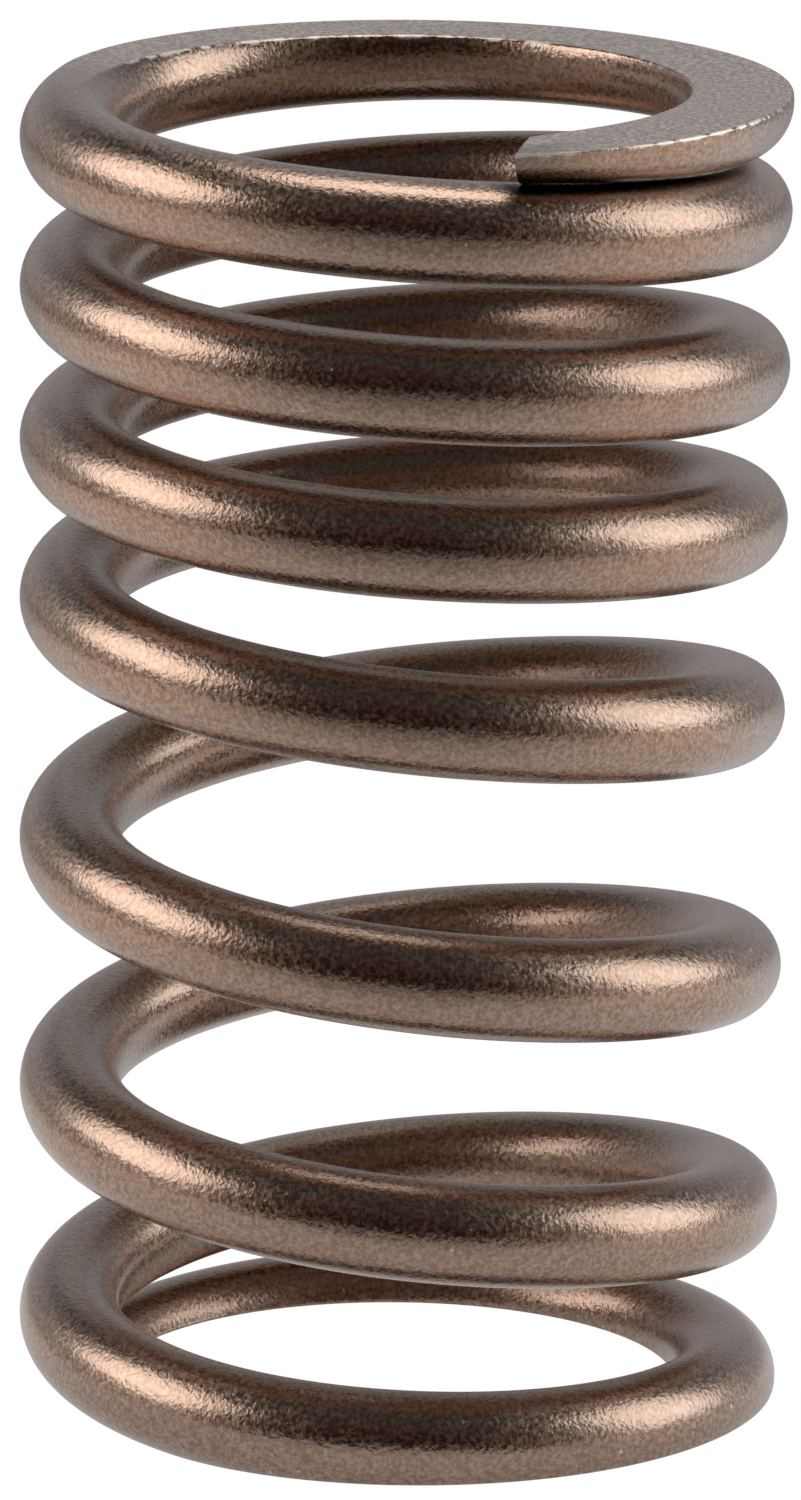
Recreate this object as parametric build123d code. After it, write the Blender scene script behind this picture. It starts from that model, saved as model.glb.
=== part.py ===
from build123d import *
import math
import os

# Engine valve spring: one length of round wire, wound left-handed with a changing pitch.
# Millimetres. +Z runs up the coil's axis and Z = 0 is the ground face that it stands on.
# The coil is described from the top tip down, in turns, as it is wound.

# Driving dimensions
wire_diameter = 4.0
coil_outside_diameter = 30.0
top_tip_angle = -73.7        # where the wire starts, degrees from +X, seen from above
tip_cut_skew = 28.0          # degrees between the sheared end and a radial line

tight_pitch = 6.1            # drop per turn of the close coils under the top end
open_pitch = 10.4            # drop per turn where the open coils begin
low_open_pitch = 9.3         # drop per turn where they reach the closed bottom coil

top_end_turns = 0.363        # laid flat before the wire starts to fall away
top_lead_turns = 0.65        # from there to the close coils
tight_turns = 2.3
change_turns = 1.05          # from the close coils to the open ones
open_turns = 2.23
bottom_lead_turns = 0.47     # from the open coils to the flat end
bottom_end_turns = 0.643

top_coil_gap = 0.31          # between the top tip and the coil under it
bottom_coil_gap = 0.12       # between the bottom tip and the coil over it
top_tip_thickness = 1.31     # what grinding leaves of the wire at each tip
bottom_tip_thickness = 0.77

points_per_turn = 24         # of the centreline

wire_radius = wire_diameter / 2
coil_radius = (coil_outside_diameter - wire_diameter) / 2

# The skewed cut leaves one side of the wire as long as it was wound, and crosses the
# centreline this many turns short of that
setback_turns = wire_radius * math.tan(math.radians(abs(tip_cut_skew))) / (2 * math.pi * coil_radius)


def eased(x):
    """Integral from 0 to x of the smooth step 3x^2 - 2x^3."""
    return x ** 3 - x ** 4 / 2


def end_pitch(inner_pitch, end_turns, lead_turns, gap):
    """Pitch of a flat end: one turn in from the tip, the wire clears the tip by the gap."""
    lead_used = min(1 - end_turns, lead_turns)
    inner_used = 1 - end_turns - lead_used
    x = lead_used / lead_turns
    from_inner = inner_pitch * (lead_turns * eased(x) + inner_used)
    return (wire_diameter + gap - from_inner) / (end_turns + lead_turns * (x - eased(x)))


top_end_pitch = end_pitch(tight_pitch, top_end_turns, top_lead_turns, top_coil_gap)
bottom_end_pitch = end_pitch(low_open_pitch, bottom_end_turns, bottom_lead_turns, bottom_coil_gap)

# Each stretch of wire: its turns, and the pitch at its two ends
stretches = [
    (top_end_turns, top_end_pitch, top_end_pitch),
    (top_lead_turns, top_end_pitch, tight_pitch),
    (tight_turns, tight_pitch, tight_pitch),
    (change_turns, tight_pitch, open_pitch),
    (open_turns, open_pitch, low_open_pitch),
    (bottom_lead_turns, low_open_pitch, bottom_end_pitch),
    (bottom_end_turns, bottom_end_pitch, bottom_end_pitch),
]
total_turns = sum(turns for turns, first, last in stretches)


def drop(turn):
    """How far the wire's centre has come down at a turn counted from the top tip."""
    fallen = min(turn, 0) * top_end_pitch
    for turns, first, last in stretches:
        x = min(max(turn / turns, 0), 1)
        fallen += turns * (first * x + (last - first) * eased(x))
        turn -= turns
    return fallen + max(turn, 0) * bottom_end_pitch


# The two ground faces each take the wire's centre off at the tip
top_ground_off = wire_radius - top_tip_thickness
bottom_ground_off = wire_radius - bottom_tip_thickness
free_length = drop(total_turns) - top_ground_off - bottom_ground_off


def centre(turn):
    """Point of the wire's centreline at a turn counted from the top tip."""
    angle = math.radians(top_tip_angle) + 2 * math.pi * turn
    height = free_length + top_ground_off - drop(turn)
    return Vector(coil_radius * math.cos(angle), coil_radius * math.sin(angle), height)


def tube(first, last, radius):
    """Round bar along the centreline between two turns."""
    steps = max(4, round((last - first) * points_per_turn))
    path = Spline(*[centre(first + (last - first) * i / steps) for i in range(steps + 1)])
    section = Plane(origin=path @ 0, z_dir=path % 0) * Circle(radius)
    return sweep(section, path=path, is_frenet=True)


def sheared_off(tip, outward, gap):
    """What a skewed, upright cut takes off a tip. It stays clear of the next coil."""
    inner, outer = tip - outward * 4 * setback_turns, tip + outward * setback_turns / 4
    stub = tube(min(inner, outer), max(inner, outer), wire_radius + gap / 3)
    cut = tip - outward * setback_turns
    facing = Rot(0, 0, top_tip_angle + 360 * cut - tip_cut_skew)
    block = 4 * wire_diameter
    return stub & Pos(centre(cut)) * facing * Pos(0, outward * block / 2, 0) * Box(block, block, block)


def ground_off(height, outward):
    """Everything past a ground face."""
    side = 2 * coil_outside_diameter
    return Pos(0, 0, height + outward * side / 2) * Box(side, side, side)


def valve_spring():
    """The wire, sheared at both tips, then ground flat and square at both ends."""
    wire = tube(0, total_turns, wire_radius)
    wire -= sheared_off(0, -1, top_coil_gap)
    wire -= sheared_off(total_turns, 1, bottom_coil_gap)
    wire -= ground_off(free_length, 1)
    wire -= ground_off(0, -1)
    return wire


spring = valve_spring()
spring.label = "valve_spring"

os.makedirs("parts", exist_ok=True)
export_step(spring, "parts/valve_spring.step")

print(f"turns {total_turns:.2f}, free length {free_length:.2f} mm")
print(f"end pitches {top_end_pitch:.2f} and {bottom_end_pitch:.2f} mm")
print(f"volume {spring.volume:.0f} mm3, valid {spring.is_valid}, solids {len(spring.solids())}")
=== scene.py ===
"""Looks of an engine valve spring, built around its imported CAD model."""
import math

import bpy
import numpy as np
from mathutils import Matrix, Vector


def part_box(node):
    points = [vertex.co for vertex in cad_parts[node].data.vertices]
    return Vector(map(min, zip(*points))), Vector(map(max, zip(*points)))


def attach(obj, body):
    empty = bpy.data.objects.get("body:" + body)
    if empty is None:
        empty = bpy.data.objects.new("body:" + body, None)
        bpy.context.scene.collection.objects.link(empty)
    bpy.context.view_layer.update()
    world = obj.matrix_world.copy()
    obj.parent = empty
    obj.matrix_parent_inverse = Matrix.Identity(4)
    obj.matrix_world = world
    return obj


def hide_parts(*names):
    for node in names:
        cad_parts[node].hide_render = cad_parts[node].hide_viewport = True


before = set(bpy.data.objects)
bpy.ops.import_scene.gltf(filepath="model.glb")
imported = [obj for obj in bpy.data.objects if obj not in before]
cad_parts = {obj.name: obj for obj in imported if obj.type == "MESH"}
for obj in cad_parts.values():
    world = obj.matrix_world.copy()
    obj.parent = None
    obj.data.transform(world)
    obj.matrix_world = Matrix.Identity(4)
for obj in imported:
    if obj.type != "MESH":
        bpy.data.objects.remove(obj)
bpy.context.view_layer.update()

# Spring wire
# One length of round spring steel, coiled left-handed with close coils above and open ones
# below. It is sheared at both tips and its two ends are ground flat on a face grinder.

MM = 0.001
WIRE_RADIUS = 2.0 * MM
COIL_RADIUS = 13.0 * MM
FREE_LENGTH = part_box("valve_spring")[1].z

TIP_CUT_SKEW = math.radians(28)         # between the sheared end and a radial line
TOP_TIP_ANGLE = math.radians(-73.7)     # where the wire starts, from +X, seen from above
TOP_TIP_THICKNESS = 1.31 * MM           # what grinding leaves of the wire there
TIP_REACH = 0.0039                      # turns by which it reaches past the CAD solid's tip

TIGHT_PITCH = 6.1 * MM
OPEN_PITCH = 10.4 * MM
LOW_OPEN_PITCH = 9.3 * MM
TOP_END_TURNS, TOP_LEAD_TURNS = 0.363, 0.65
TIGHT_TURNS, CHANGE_TURNS, OPEN_TURNS = 2.3, 1.05, 2.23
BOTTOM_LEAD_TURNS, BOTTOM_END_TURNS = 0.47, 0.643
TOP_COIL_GAP, BOTTOM_COIL_GAP = 0.31 * MM, 0.12 * MM    # from a tip to the next coil, as wound


def smooth(x):
    """Smooth step 3x^2 - 2x^3, from 0 at 0 to 1 at 1 and level beyond them."""
    x = np.clip(x, 0, 1)
    return x * x * (3 - 2 * x)


def eased(x):
    """Integral from 0 to x of the smooth step, for x up to 1."""
    return x**3 - x**4 / 2


def end_pitch(inner_pitch, end_turns, lead_turns, gap):
    """Pitch of a flat end whose tip clears the next coil by the gap.

    One turn in from the tip, the wire has fallen by its own diameter and the gap. The inner
    pitch's part of that fall is taken off, and the rest is shared over the flat end's part.
    """
    x = (1 - end_turns) / lead_turns
    lead_used = min(x, 1)
    inner_turns = max(1 - end_turns - lead_turns, 0)
    from_inner = inner_pitch * (lead_turns * eased(lead_used) + inner_turns)
    flat_share = end_turns + lead_turns * (lead_used - eased(lead_used))
    return (2 * WIRE_RADIUS + gap - from_inner) / flat_share


top_end_pitch = end_pitch(TIGHT_PITCH, TOP_END_TURNS, TOP_LEAD_TURNS, TOP_COIL_GAP)
bottom_end_pitch = end_pitch(LOW_OPEN_PITCH, BOTTOM_END_TURNS, BOTTOM_LEAD_TURNS, BOTTOM_COIL_GAP)

# Each stretch of wire, from the top tip down: its turns, and the pitch at its two ends
STRETCHES = (
    (TOP_END_TURNS, top_end_pitch, top_end_pitch),
    (TOP_LEAD_TURNS, top_end_pitch, TIGHT_PITCH),
    (TIGHT_TURNS, TIGHT_PITCH, TIGHT_PITCH),
    (CHANGE_TURNS, TIGHT_PITCH, OPEN_PITCH),
    (OPEN_TURNS, OPEN_PITCH, LOW_OPEN_PITCH),
    (BOTTOM_LEAD_TURNS, LOW_OPEN_PITCH, bottom_end_pitch),
    (BOTTOM_END_TURNS, bottom_end_pitch, bottom_end_pitch),
)
TOTAL_TURNS = sum(turns for turns, first, last in STRETCHES)

# Use has pressed each end coil onto the next one: by so much at the tip, and further behind it
PRESS_RISE = 0.13    # turns from the tip to where it is pressed furthest
TOP_PRESS = {"at_tip": 0.09 * MM, "further": 0.33 * MM, "held": 0.15, "faded": 0.35}
BOTTOM_PRESS = {"at_tip": 0.05 * MM, "further": 0.13 * MM, "held": 0.17, "faded": 0.3}


def pressed(turns_in, at_tip, further, held, faded):
    """How far an end coil is pressed onto the next one, at so many turns in from its tip.

    A step at the tip and a smooth rise, kept up to the turns held, and then smoothly faded.
    """
    return (at_tip + further * smooth(turns_in / PRESS_RISE)) * (1 - smooth((turns_in - held) / faded))


def centre_height(turn):
    """Height of the wire's centre: the top tip's, less each stretch's eased fall so far.

    The top end coil is pressed down from there, and the bottom one up.
    """
    fallen = 0
    left = turn
    for turns, first, last in STRETCHES:
        x = np.clip(left / turns, 0, 1)
        fallen = fallen + turns * (first * x + (last - first) * eased(x))
        left = left - turns
    start = FREE_LENGTH + WIRE_RADIUS - TOP_TIP_THICKNESS
    return start - fallen - pressed(turn, **TOP_PRESS) + pressed(TOTAL_TURNS - turn, **BOTTOM_PRESS)


ROWS_PER_TURN = 190             # along the wire
ARC_POINTS = 44                 # round the wire, outside the ground strip
CORNER_POINTS = 4               # over each worn edge of the ground strip
STRIP_POINTS = 8                # across the ground strip
EDGE_BREAK = 0.12 * MM          # width of the worn edge
LEAST_STRIP = math.radians(9)   # half angle that the strip's points keep where nothing is ground


def section(height):
    """Wire section in its own plane, as (across, outward) arrays, one row a section.

    A circle cut by a line at a height above its centre. Outward is towards the ground face.
    The points run round the arc, over one corner as a quadratic curve, across the cut line
    and over the other corner.
    """
    half = np.arccos(np.clip(height / WIRE_RADIUS, -1, math.cos(LEAST_STRIP)))
    reach = WIRE_RADIUS * np.sin(half)
    crown = WIRE_RADIUS * np.cos(half)
    gap = EDGE_BREAK / WIRE_RADIUS
    arc = half + gap + np.linspace(0, 1, ARC_POINTS) * (2 * math.pi - 2 * half - 2 * gap)
    inset = reach - EDGE_BREAK
    strip = inset * np.linspace(-1, 1, STRIP_POINTS)
    flat = np.minimum(height, np.sqrt(np.maximum(WIRE_RADIUS**2 - strip**2, 0)))
    t = np.linspace(0, 1, CORNER_POINTS + 2)[1:-1]

    def corner(side, t):
        """Quadratic curve from the arc's end to the strip's, round the sharp corner."""
        start = (side * WIRE_RADIUS * np.sin(half + gap), WIRE_RADIUS * np.cos(half + gap))
        middle = (side * reach, crown)
        end = (side * inset, flat[:, :1])
        return [a * (1 - t) ** 2 + 2 * b * t * (1 - t) + c * t**2 for a, b, c in zip(start, middle, end)]

    left_across, left_out = corner(-1, t)
    right_across, right_out = corner(1, t[::-1])
    across = np.concatenate([WIRE_RADIUS * np.sin(arc), left_across, strip, right_across], 1)
    outward = np.concatenate([WIRE_RADIUS * np.cos(arc), left_out, flat, right_out], 1)
    return across, outward


def sheared(radius):
    """Turns by which an upright plane, skewed through the coil's radius, leans at a radius."""
    towards, aside = COIL_RADIUS * math.cos(TIP_CUT_SKEW), COIL_RADIUS * math.sin(TIP_CUT_SKEW)
    along = np.sqrt(radius**2 - aside**2) - towards
    angle = np.arctan2(along * math.sin(TIP_CUT_SKEW), COIL_RADIUS + along * math.cos(TIP_CUT_SKEW))
    return -angle / (2 * math.pi)


SETBACK_TURNS = WIRE_RADIUS * math.tan(TIP_CUT_SKEW) / (2 * math.pi * COIL_RADIUS)
SHEAR_REACH = 0.06                  # turns over which the grid leans into a sheared tip
STRIP_TURNS = 1.5                   # from each tip, before the strip starts to turn over
GRINDING_SHOWN = 0.45 * MM          # depth of grinding at which its finish is full
LEAN = math.radians(0.46)           # of the top ground face, down towards -Y
LEAN_TURNS, LEAN_FADE = 0.68, 0.27  # from the top tip, and then over which the lean fades


def wire_grid():
    """Points of the whole wire, one row of the grid a section.

    Each section stands in the upright plane through the coil's axis, stretched upwards by
    the slope of the wire. The ground side turns from the top to the bottom over the middle
    coils. Near a tip the rows lean until they lie in the skewed, upright cut. The top end
    coil is lowered by its distance in from +Y, times the lean.

    Also returned: each row's turn and how far it is ground, and each point's section angle,
    in degrees up from straight away from the coil's axis.
    """
    rows = round(TOTAL_TURNS * ROWS_PER_TURN) + 1
    turn = np.linspace(SETBACK_TURNS - TIP_REACH, TOTAL_TURNS - SETBACK_TURNS, rows)[:, None]
    z = centre_height(turn)
    slope = np.gradient(z[:, 0], turn[:, 0])[:, None] / (2 * math.pi * COIL_RADIUS)
    stretch = np.sqrt(1 + slope**2)
    to_plane = np.where(turn < TOTAL_TURNS / 2, FREE_LENGTH - z, z) / stretch
    across, outward = section(to_plane)

    turned = math.pi * smooth((turn - STRIP_TURNS) / (TOTAL_TURNS - 2 * STRIP_TURNS))
    radial = across * np.cos(turned) - outward * np.sin(turned)
    upward = across * np.sin(turned) + outward * np.cos(turned)

    radius = COIL_RADIUS + radial
    near_top_tip = np.maximum(1 - (turn - turn[0]) / SHEAR_REACH, 0) ** 2
    near_bottom_tip = np.maximum(1 - (turn[-1] - turn) / SHEAR_REACH, 0) ** 2
    at = turn + sheared(radius) * (near_top_tip + near_bottom_tip)
    angle = TOP_TIP_ANGLE + 2 * math.pi * at
    height = np.clip(centre_height(at) + upward * stretch, 0, FREE_LENGTH)
    y = radius * np.sin(angle)
    leaning = 1 - smooth((turn - LEAN_TURNS) / LEAN_FADE)
    height = height - leaning * (COIL_RADIUS + WIRE_RADIUS - y) * math.tan(LEAN)

    points = np.stack([radius * np.cos(angle), y, height], -1)
    ground = smooth((WIRE_RADIUS * math.cos(LEAST_STRIP) - to_plane) / GRINDING_SHOWN)
    section_angle = np.degrees(np.arctan2(upward, radial))
    return points, turn[:, 0], ground[:, 0], section_angle


grid, row_turn, row_ground, section_angle = wire_grid()
columns = grid.shape[1]

CAP_RINGS = (0.97, 0.9, 0.75, 0.5, 0.25)    # each a share of the section's size
CAP_BULGE = 0.05 * MM


def capped(row, inner_row):
    """Rows that close one end: its section shrunk to its middle, and bulged out of it.

    The ring at a share s of the section's size stands out by CAP_BULGE (1 - s^8).
    """
    middle = row.mean(0)
    # Three points of the ring give its plane
    out = np.cross(row[columns // 4] - row[0], row[columns // 2] - row[0])
    out *= np.sign(out @ (middle - inner_row.mean(0))) / np.linalg.norm(out)
    return np.stack([middle + (row - middle) * s + CAP_BULGE * out * (1 - s**8) for s in CAP_RINGS])


all_rows = np.concatenate([capped(grid[0], grid[1])[::-1], grid, capped(grid[-1], grid[-2])])
row_count = len(all_rows)
tips = np.stack([all_rows[0].mean(0), all_rows[-1].mean(0)])
vertices = np.concatenate([all_rows.reshape(-1, 3), tips])


def quads():
    """Faces of the wire's grid, which closes on itself across its columns."""
    i = np.arange(row_count - 1)[:, None] * columns
    j = np.arange(columns)[None, :]
    k = (j + 1) % columns
    return np.stack([i + j, i + k, i + columns + k, i + columns + j], -1).reshape(-1, 4)


def fan(row, tip):
    """Triangles from one row to a point."""
    j = np.arange(columns)
    k = (j + 1) % columns
    return np.stack([row * columns + j, row * columns + k, np.full(columns, tip)], -1)


top_point, bottom_point = len(vertices) - 2, len(vertices) - 1
top_fan = fan(0, top_point)[:, [1, 0, 2]]       # turned over, to face outwards
bottom_fan = fan(row_count - 1, bottom_point)
faces = quads().tolist() + top_fan.tolist() + bottom_fan.tolist()
mesh = bpy.data.meshes.new("wound_wire")
mesh.from_pydata(vertices.tolist(), [], faces)
mesh.update()

# Wear and painted light, as pairs of turns from the top tip and how strong it is there. The sharp
# edge left by grinding is worn bright near the tip and round the back, and made brighter still as a
# painted highlight. So is the line along which the end coil touches the coil under it: partly worn,
# partly a painted reflection. Painted shade makes that coil black next to the line, and makes the
# very tip's lower side dark too.
EDGE_WEAR_AND_HIGHLIGHT = ((0, 1), (0.022, 1), (0.03, 0.62), (0.055, 0.62), (0.062, 1), (0.125, 1), (0.17, 0.35),
             (0.33, 0.35), (0.4, 0.8), (0.62, 0.8), (0.68, 0.2))
# The contact line is partly worn and partly a painted reflection of the coil under it
CONTACT_RUB_AND_REFLECTION = ((0.045, 0), (0.056, 1), (0.12, 1), (0.15, 0))
# Painted shade: black on the coil under the contact line, and dark on the very tip's lower side
CONTACT_PAINTED_SHADE = ((0.992, 0), (1.0, 1), (1.06, 1), (1.15, 0.3), (1.17, 0))
TIP_PAINTED_SHADE = ((0, 0.5), (0.02, 0.35), (0.04, 0))
BESIDE_EDGE_WEAR_AND_HIGHLIGHT = 0.7      # on the arc next to the edge, as a share of the edge's own wear and painted highlight


def along_wire(stops):
    """One value a row, straight between (turns from the top tip, value) pairs."""
    turns, values = zip(*stops)
    return np.interp(row_turn, turns, values)


def band(stops, middle, width, power):
    """A band along the wire: its strength times exp(-((section angle - middle) / width)^power)."""
    return along_wire(stops)[:, None] * np.exp(-((section_angle - middle) / width) ** power)


# Contact line: partly worn, partly a painted reflection
rub_and_reflection = band(CONTACT_RUB_AND_REFLECTION, middle=-64, width=6.0, power=2)
# Painted shade next to the contact line and under the very tip
painted_shade = band(CONTACT_PAINTED_SHADE, middle=72, width=15.0, power=4) + band(TIP_PAINTED_SHADE, middle=-40, width=40.0, power=4)
column = np.arange(columns)
strip_start = ARC_POINTS + CORNER_POINTS
strip_end = strip_start + STRIP_POINTS
on_strip = (column >= strip_start - 1) & (column <= strip_end)
on_edge = ((column >= ARC_POINTS) & (column < strip_start)) | (column >= strip_end)
beside_edge = (column == 0) | (column == ARC_POINTS - 1)
edge = on_edge + BESIDE_EDGE_WEAR_AND_HIGHLIGHT * beside_edge


def vertex_attribute(name, on_wire, on_cuts=0):
    """Give each vertex a number: the grid's own, and one for both sheared ends."""
    cap = np.full(len(CAP_RINGS) * columns, on_cuts)
    values = np.concatenate([cap, on_wire.ravel(), cap, [on_cuts, on_cuts]])
    mesh.attributes.new(name, "FLOAT", "POINT").data.foreach_set("value", values.astype(np.float32))


vertex_attribute("ground", row_ground[:, None] * on_strip)
# The ground face's edge: partly real wear, partly a painted highlight
vertex_attribute("edge", (row_ground * along_wire(EDGE_WEAR_AND_HIGHLIGHT))[:, None] * edge)
vertex_attribute("rub_and_reflection", rub_and_reflection)
vertex_attribute("painted_shade", painted_shade)
vertex_attribute("cut", np.zeros_like(section_angle), on_cuts=1)

SHARP_ANGLE = math.radians(38)
wire = bpy.data.objects.new("spring_wire", mesh)
bpy.context.scene.collection.objects.link(wire)
mesh.shade_smooth()
mesh.set_sharp_from_angle(angle=SHARP_ANGLE)


class Value:
    """A shader socket that takes part in Python arithmetic: each step adds a Math node."""

    def __init__(self, finish, socket):
        self.finish = finish
        self.socket = socket

    def __add__(self, other):
        return self.finish.maths("ADD", self, other)

    def __sub__(self, other):
        return self.finish.maths("SUBTRACT", self, other)

    def __rsub__(self, other):
        return self.finish.maths("SUBTRACT", other, self)

    def __mul__(self, other):
        return self.finish.maths("MULTIPLY", self, other)

    def __truediv__(self, other):
        return self.finish.maths("DIVIDE", self, other)

    def __rtruediv__(self, other):
        return self.finish.maths("DIVIDE", other, self)

    def __pow__(self, other):
        return self.finish.maths("POWER", self, other)

    def __rpow__(self, other):
        return self.finish.maths("POWER", other, self)

    __radd__ = __add__
    __rmul__ = __mul__


class Finish:
    """The shader nodes of one material or world, made one at a time."""

    MIX_SHARE, MIX_FIRST, MIX_SECOND, MIX_COLOUR = 0, 6, 7, 2     # a colour Mix node's sockets

    def __init__(self, owner):
        owner.use_nodes = True
        self.tree = owner.node_tree
        self.tree.nodes.clear()

    def node(self, kind, settings=None, inputs=(), output=0):
        """A node's output, after its settings, with values or links on its inputs."""
        node = self.tree.nodes.new(kind)
        for name, value in (settings or {}).items():
            setattr(node, name, value)
        pairs = inputs.items() if isinstance(inputs, dict) else enumerate(inputs)
        for key, value in pairs:
            socket = node.inputs[key]
            if isinstance(value, Value):
                self.tree.links.new(value.socket, socket)
            else:
                socket.default_value = value
        return Value(self, node.outputs[output]) if len(node.outputs) else None

    def maths(self, operation, *values):
        return self.node("ShaderNodeMath", {"operation": operation}, values)

    def limited(self, value, low, high):
        """0 below low, 1 above high, straight between."""
        inputs = {"Value": value, "From Min": low, "From Max": high}
        return self.node("ShaderNodeMapRange", {"clamp": True}, inputs)

    def mixed(self, share, first, second):
        """A colour between two, by share."""
        inputs = {self.MIX_SHARE: share, self.MIX_FIRST: first, self.MIX_SECOND: second}
        return self.node("ShaderNodeMix", {"data_type": "RGBA"}, inputs, output=self.MIX_COLOUR)

    def noise(self, place, scale, detail=2.0, roughness=0.5):
        inputs = {"Vector": place, "Scale": scale, "Detail": detail, "Roughness": roughness}
        return self.node("ShaderNodeTexNoise", {}, inputs)


# Colours of the peened wire and of its ground faces, each between the dark and the pale grains
WIRE_DARK, WIRE_PALE = (0.29, 0.176, 0.118, 1), (0.465, 0.318, 0.242, 1)
GROUND_DARK, GROUND_PALE = (0.37, 0.275, 0.215, 1), (0.84, 0.67, 0.55, 1)
CUT_STEEL = (0.25, 0.2, 0.165, 1)
# Pale bare steel where worn, bright enough to also stand as a painted highlight on the edges and a painted
# reflection on the contact line
WORN_STEEL_AND_HIGHLIGHT = (1.0, 0.9, 0.8, 1)
# Near black, for the painted shade at the end coil's contact and under the tip
PAINTED_SHADE_BLACK = (0.02, 0.012, 0.01, 1)

DENT_DEPTH = 0.026 * MM
DENT_SCALE, GRAIN_SCALE, PATCH_SCALE, SPECK_SCALE = 5000.0, 5200.0, 1500.0, 3400.0   # a metre
GRAIN_RANGE = (0.36, 0.72)          # of a noise, from none to full
EDGE_PATCHES = (0.66, 0.76)
RUB_AND_REFLECTION_PATCHES = (0.35, 0.5)
SPECK_RANGE = (0.86, 0.89)
EDGE_SPREAD = 0.3                   # by which full wear and painted highlight opens more of the edge's patches
SPECK_BRIGHTNESS = 0.5

SHEEN_ROUGHNESS = 0.22              # of the smoothest wire, and what each of these adds
GRAIN_ROUGHNESS, GROUND_ROUGHNESS, WORN_ROUGHNESS = 0.16, 0.12, 0.26
WORN_DULLNESS = 0.3                 # share of the bright wear and painted highlight that isn't metallic
FILM, GRAIN_FILM = 0.32, 0.4        # weight of the oily film, and what the pale grains add
FILM_ROUGHNESS, FILM_IOR = 0.28, 1.6


def spring_steel():
    """Peened spring steel, bronze-brown from heat, with dull ground ends and bright worn edges, the edges
    made brighter still as a painted highlight, and painted shade at the end coil's contact.
    """
    material = bpy.data.materials.new("peened_spring_steel")
    f = Finish(material)
    place = f.node("ShaderNodeTexCoord", output="Object")
    ground, edge, cut, rub_and_reflection, painted_shade = [
        f.node("ShaderNodeAttribute", {"attribute_name": name}, output="Fac")
        for name in ("ground", "edge", "cut", "rub_and_reflection", "painted_shade")]

    dents = f.noise(place, DENT_SCALE, detail=1.0, roughness=0.7)
    grain = f.limited(f.noise(place, GRAIN_SCALE, detail=1.0, roughness=0.7), *GRAIN_RANGE)
    wire_colour = f.mixed(grain, WIRE_DARK, WIRE_PALE)
    ground_colour = f.mixed(grain, GROUND_DARK, GROUND_PALE)
    colour = f.mixed(ground, wire_colour, ground_colour)
    colour = f.mixed(cut, colour, CUT_STEEL)

    patches = f.noise(place, PATCH_SCALE)
    # Worn edges and contact line, made brighter as a painted highlight and a painted reflection
    wear_and_highlight = edge * f.limited(patches + EDGE_SPREAD * edge, *EDGE_PATCHES)
    wear_and_highlight = wear_and_highlight + rub_and_reflection * f.limited(patches, *RUB_AND_REFLECTION_PATCHES)
    specks = f.limited(f.noise(place, SPECK_SCALE, detail=0.0), *SPECK_RANGE)
    bright = f.limited(wear_and_highlight + SPECK_BRIGHTNESS * specks, 0.0, 1.0)
    colour = f.mixed(bright, colour, WORN_STEEL_AND_HIGHLIGHT)
    # Painted shade, which also takes the film away there
    colour = f.mixed(painted_shade, colour, PAINTED_SHADE_BLACK)

    roughness = SHEEN_ROUGHNESS + GRAIN_ROUGHNESS * grain
    roughness = roughness + GROUND_ROUGHNESS * ground + WORN_ROUGHNESS * bright
    bump_inputs = {"Strength": 1.0, "Distance": DENT_DEPTH, "Height": dents}
    bump = f.node("ShaderNodeBump", {}, bump_inputs, output="Normal")
    shader = f.node("ShaderNodeBsdfPrincipled", {}, {
        "Base Color": colour, "Metallic": 1 - WORN_DULLNESS * bright, "Roughness": roughness, "Normal": bump,
        "Coat Weight": (FILM + GRAIN_FILM * grain) * (1 - painted_shade),
        "Coat Roughness": FILM_ROUGHNESS, "Coat IOR": FILM_IOR})
    f.node("ShaderNodeOutputMaterial", {}, {"Surface": shader})
    return material


mesh.materials.append(spring_steel())
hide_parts("valve_spring")
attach(wire, "root")

# Table and studio
# A white sheet to stand on, in a white room whose front, on the camera's side, is dark. There
# is a soft lamp at each side and one above, behind the spring, and the sheet glows a little
# by itself.


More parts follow.
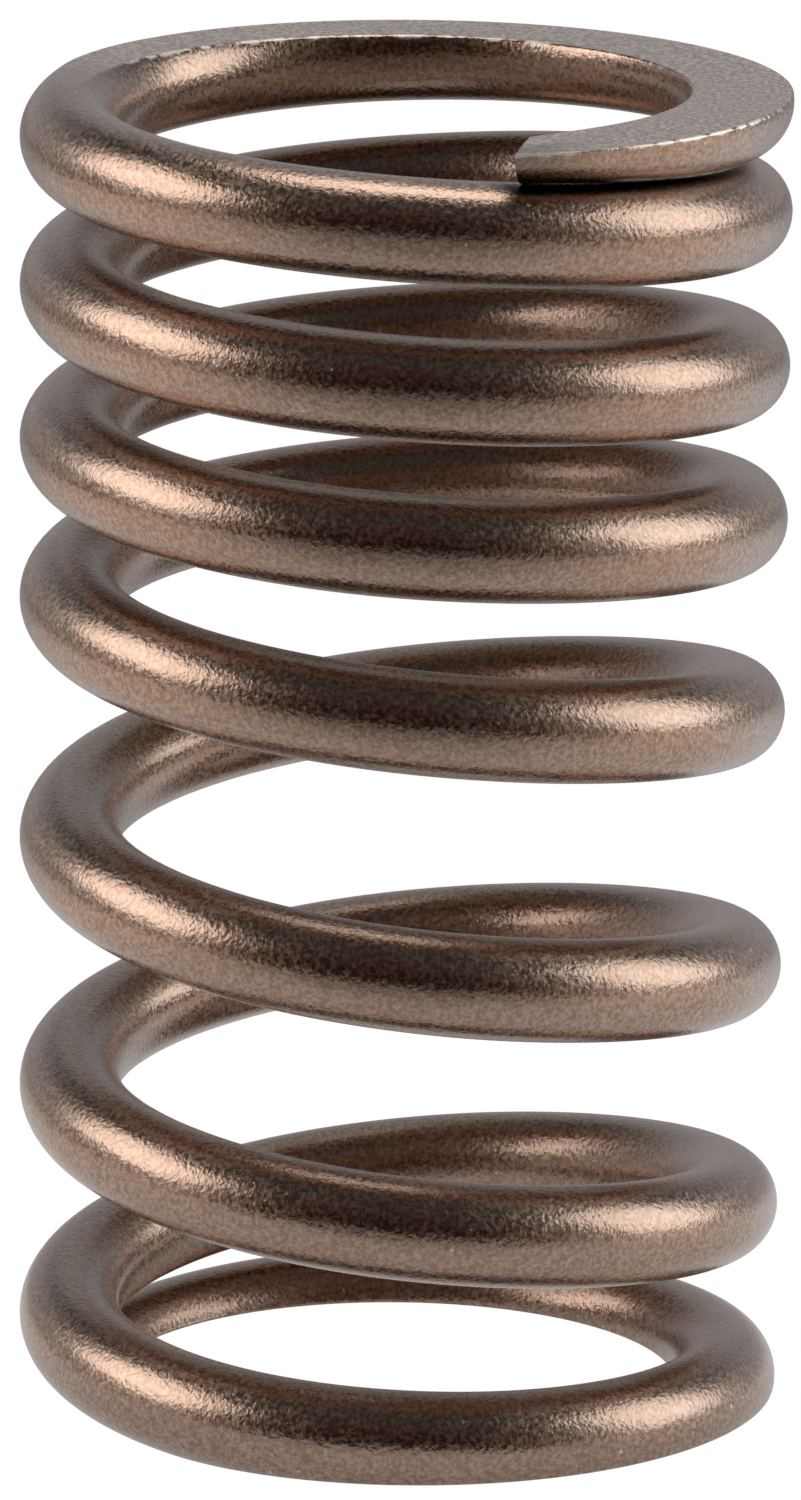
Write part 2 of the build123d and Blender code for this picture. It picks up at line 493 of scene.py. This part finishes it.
def table_top():
    """White sheet, plain white to the camera. The spring sees it glow most at its two sides.

    At (x, y) from the spring, with r^2 = x^2 + y^2 + reach^2, it glows by
    level + (wide x^2 - deep y^2) / r^2, and at the back right by corner x y / r^2 more. Over
    the far range of x^2 + y^2 this gives way to a dim glow behind and at the sides.
    """
    half_width = 3.0
    level, wide, deep, corner, reach = 0.4, 0.29, 0.64, 0.25, 60 * MM
    far_range, behind_range, far_glow = (0.02, 0.2), (-0.6, -0.2), 0.12
    front_colour, side_colour, corner_colour = (1, 1.06, 1.11, 1), (1, 0.84, 0.7, 1), (1, 1.15, 1.3, 1)
    corner_tint = 2.0
    matt_colour, white_strength, white_share = (0.5, 0.5, 0.5, 1), 1.05, 0.93
    material = bpy.data.materials.new("white_sheet")
    f = Finish(material)
    seen = f.node("ShaderNodeLightPath", output="Is Camera Ray")
    place = f.node("ShaderNodeTexCoord", output="Object")
    x = f.node("ShaderNodeSeparateXYZ", {}, [place], output="X")
    y = f.node("ShaderNodeSeparateXYZ", {}, [place], output="Y")
    x2, y2 = x * x, y * y
    r2 = x2 + y2 + reach**2
    back_right = f.limited(x, 0.0, 1.0) * f.limited(y, 0.0, 1.0) / r2
    far = f.limited(x2 + y2, *far_range)
    behind = f.limited(y / r2**0.5, *behind_range)
    near_glow = f.limited(level + (wide * x2 - deep * y2) / r2 + corner * back_right, 0.0, 1.0)
    colour = f.mixed(x2 / r2, front_colour, side_colour)
    colour = f.mixed(corner_tint * back_right, colour, corner_colour)
    strength = near_glow * (1 - far) + far_glow * far * behind
    matt = f.node("ShaderNodeBsdfDiffuse", {}, {"Color": matt_colour})
    glow = f.node("ShaderNodeEmission", {}, {"Color": colour, "Strength": strength})
    to_spring = f.node("ShaderNodeAddShader", {}, [matt, glow])
    to_camera = f.node("ShaderNodeEmission", {}, {"Strength": white_strength})
    both = f.node("ShaderNodeMixShader", {}, [seen * white_share, to_spring, to_camera])
    f.node("ShaderNodeOutputMaterial", {}, {"Surface": both})
    material.cycles.emission_sampling = "NONE"      # bounced rays find it, which is quicker

    table = bpy.data.meshes.new("white_sheet")
    corners = [(-1, -1, 0), (1, -1, 0), (1, 1, 0), (-1, 1, 0)]
    table.from_pydata((half_width * np.array(corners)).tolist(), [], [(0, 1, 2, 3)])
    table.materials.append(material)
    sheet = bpy.data.objects.new("white_sheet", table)
    bpy.context.scene.collection.objects.link(sheet)


def room():
    """White to the camera. To all else a pale wall round the sides and back, and dark in front.

    Ranges are on the parts of a ray's direction: aside, deep (away from the camera) and up,
    and the canopy's width is on the square of aside. The wall is brighter near its foot and
    ends in a dim ceiling, with a bright canopy overhead, towards the back.
    """
    wall_range, ceiling_range, foot_range = (-0.8, -0.46), (0.35, 0.6), (0.0, 0.25)
    canopy_depth, canopy_width = (0.0, 0.25), (0.03, 0.09)
    front_glow, wall_glow, foot_glow, ceiling_glow, canopy_glow = 0.02, 0.34, 0.12, 0.05, 0.28
    front_colour, wall_colour, foot_colour = (1, 0.5, 0.4, 1), (1, 1.08, 1.17, 1), (1, 0.91, 0.91, 1)
    white = (1, 1, 1, 1)
    world = bpy.data.worlds.new("studio")
    bpy.context.scene.world = world
    world.cycles.sampling_method = "NONE"           # bounced rays find it, which is quicker
    f = Finish(world)
    ray = f.node("ShaderNodeTexCoord", output="Generated")
    aside = f.node("ShaderNodeSeparateXYZ", {}, [ray], output="X")
    deep = f.node("ShaderNodeSeparateXYZ", {}, [ray], output="Y")
    up = f.node("ShaderNodeSeparateXYZ", {}, [ray], output="Z")
    wall = f.limited(deep, *wall_range)
    above = f.limited(up, *ceiling_range)
    canopy = above * f.limited(deep, *canopy_depth) * (1 - f.limited(aside * aside, *canopy_width))
    foot = 1 - f.limited(up, *foot_range)
    colour = f.mixed(wall, front_colour, f.mixed(foot, wall_colour, foot_colour))
    glow = front_glow + wall * (wall_glow + foot_glow * foot) * (1 - above)
    glow = glow + ceiling_glow * above + canopy_glow * canopy
    seen = f.node("ShaderNodeLightPath", output="Is Camera Ray")
    background = f.node("ShaderNodeBackground", {}, {
        "Color": f.mixed(seen, colour, white), "Strength": seen + (1 - seen) * glow})
    f.node("ShaderNodeOutputWorld", {}, {"Surface": background})


LAMP_DISTANCE = 500 * MM


def soft_lamp(name, azimuth, elevation, roll, width, height, radiance, colour=(1, 1, 1)):
    """Rectangular soft lamp that faces the middle of the spring, turned by roll in its own plane.

    Azimuth is in degrees from the camera's side, positive to the right.
    """
    light = bpy.data.lights.new(name, "AREA")
    light.shape = "RECTANGLE"
    light.size, light.size_y = width, height
    light.energy = radiance * math.pi * width * height
    light.color = colour
    lamp = bpy.data.objects.new(name, light)
    bpy.context.scene.collection.objects.link(lamp)
    az, el = math.radians(azimuth), math.radians(elevation)
    away = Vector((math.sin(az) * math.cos(el), -math.cos(az) * math.cos(el), math.sin(el)))
    lamp.location = Vector((0, 0, FREE_LENGTH / 2)) + away * LAMP_DISTANCE
    facing = away.to_track_quat("Z", "Y").to_matrix() @ Matrix.Rotation(math.radians(roll), 3, "Z")
    lamp.rotation_euler = facing.to_euler()


table_top()
room()
soft_lamp("left_lamp", azimuth=-86, elevation=31, roll=-13, width=430 * MM, height=300 * MM, radiance=2.95)
soft_lamp("right_lamp", azimuth=94, elevation=25, roll=6, width=360 * MM, height=380 * MM, radiance=2.35,
          colour=(1, 1.07, 1.1))
soft_lamp("top_lamp", azimuth=156, elevation=77, roll=24, width=350 * MM, height=220 * MM, radiance=3.0)

# Camera
# A long lens a little above the spring, on the side where the top tip shows. Its focal length
# is in pixels of the photograph, whose height the frame keeps.

CAMERA_ELEVATION = math.radians(13.23)
CAMERA_ROLL = math.radians(0.447)
CAMERA_DISTANCE = 446 * MM
AIM_HEIGHT = 25.72 * MM
SIDE_STEP = -0.055 * MM
FOCAL_PIXELS = 11362
PICTURE_HEIGHT = 1500
SENSOR = 36.0
NEAREST, FARTHEST = 0.01, 20

lens = bpy.data.cameras.new("camera")
lens.sensor_fit = "VERTICAL"
lens.sensor_height = SENSOR
lens.lens = FOCAL_PIXELS / PICTURE_HEIGHT * SENSOR
lens.clip_start, lens.clip_end = NEAREST, FARTHEST
camera = bpy.data.objects.new("camera", lens)
bpy.context.scene.collection.objects.link(camera)
back = Vector((0, -math.cos(CAMERA_ELEVATION), math.sin(CAMERA_ELEVATION)))
facing = back.to_track_quat("Z", "Y").to_matrix() @ Matrix.Rotation(CAMERA_ROLL, 3, "Z")
camera.location = Vector((SIDE_STEP, 0, AIM_HEIGHT)) + back * CAMERA_DISTANCE
camera.rotation_euler = facing.to_euler()
bpy.context.scene.camera = camera
bpy.context.scene.view_settings.view_transform = "Standard"
